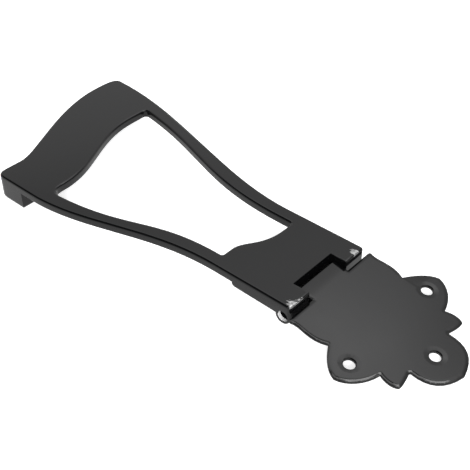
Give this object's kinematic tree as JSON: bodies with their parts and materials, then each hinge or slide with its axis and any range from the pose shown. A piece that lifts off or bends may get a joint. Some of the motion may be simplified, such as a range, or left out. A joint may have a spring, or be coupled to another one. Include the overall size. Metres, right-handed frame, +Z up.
{
  "type": "trapeze tailpiece",
  "caption": "Black trapeze tailpiece: an S-shaped string bar on flared arms, hinged on a pin to a lobed plate that screws to the tail end of the instrument.",
  "frame": {"origin": "middle of the footprint, on the surface that the head's lip and the plate's tip rest on", "axes": "+X along the strings, from the head bar towards the hinge plate; +Z up, out of the frame's top face; +Y across"},
  "size_m": [0.1848, 0.0724, 0.0096],
  "materials": {
    "black_enamel": "gloss black enamel on a zinc casting and on a steel stamping, worn to bare metal at the ear tips",
    "pin_steel": "plain drawn steel"
  },
  "bodies": {
    "plate": {"hinge_plate": "black_enamel"},
    "trapeze": {"trapeze_frame": "black_enamel", "hinge_pin": "pin_steel"}
  },
  "joints": [
    {"name": "plate_hinge", "type": "hinge", "parent": "plate", "child": "trapeze", "pos_m": [0.04195, -0.00385, 0.00493], "axis": [0, -1, 0], "range_deg": [-15, 165]}
  ]
}
